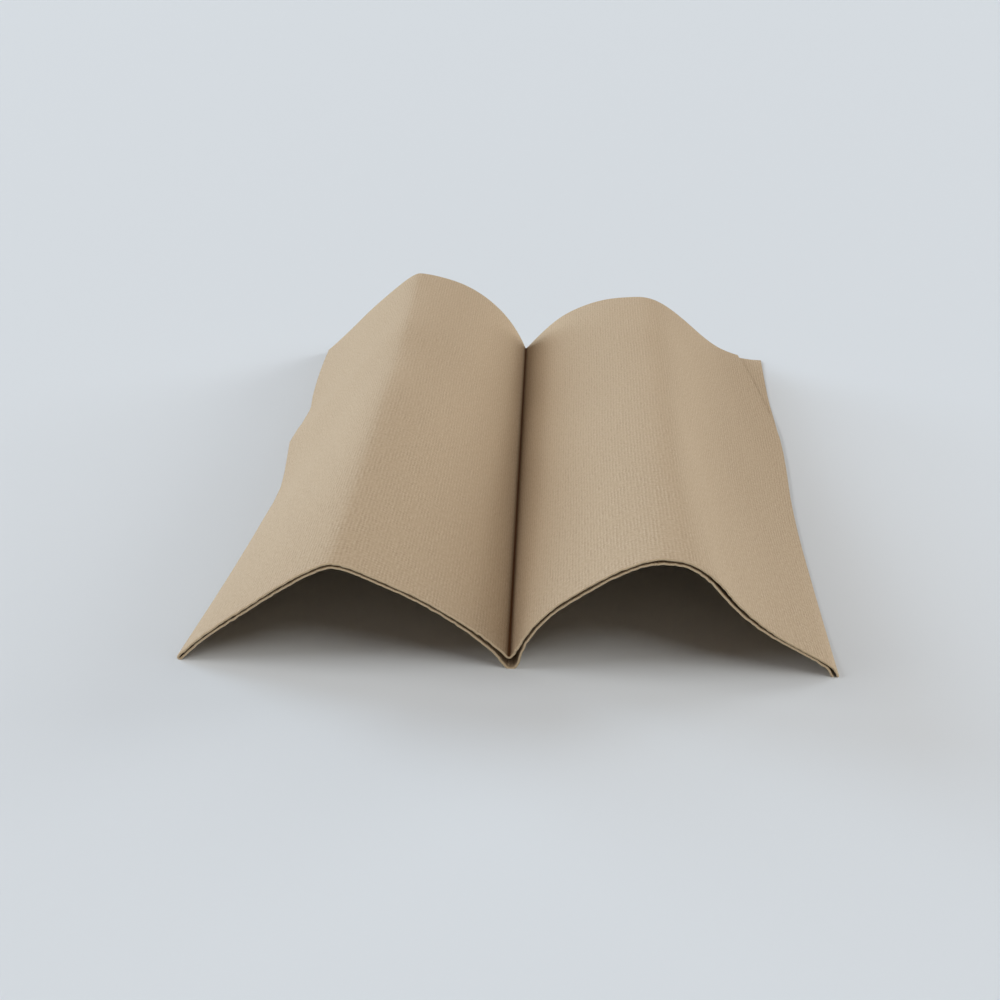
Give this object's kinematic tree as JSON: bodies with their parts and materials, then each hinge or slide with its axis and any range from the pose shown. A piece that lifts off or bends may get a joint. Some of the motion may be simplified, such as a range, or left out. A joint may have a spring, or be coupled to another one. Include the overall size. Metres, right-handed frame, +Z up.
{
  "type": "folded paper napkin",
  "caption": "Plain kraft-coloured paper napkin folded to a square and creased down the middle, standing as two low arches with a valley between them.",
  "frame": {"origin": "under the middle of the crease, on the surface that the napkin rests on", "axes": "+X across the two arches to the raw edge at the right, +Y along the crease from the folded front edge to the raw rear edge, +Z up"},
  "size_m": [0.1697, 0.2, 0.0341],
  "materials": {
    "kraft_paper": "matte, soft and finely embossed, unbleached brown"
  },
  "bodies": {
    "root": {"napkin": "kraft_paper"}
  },
  "joints": []
}
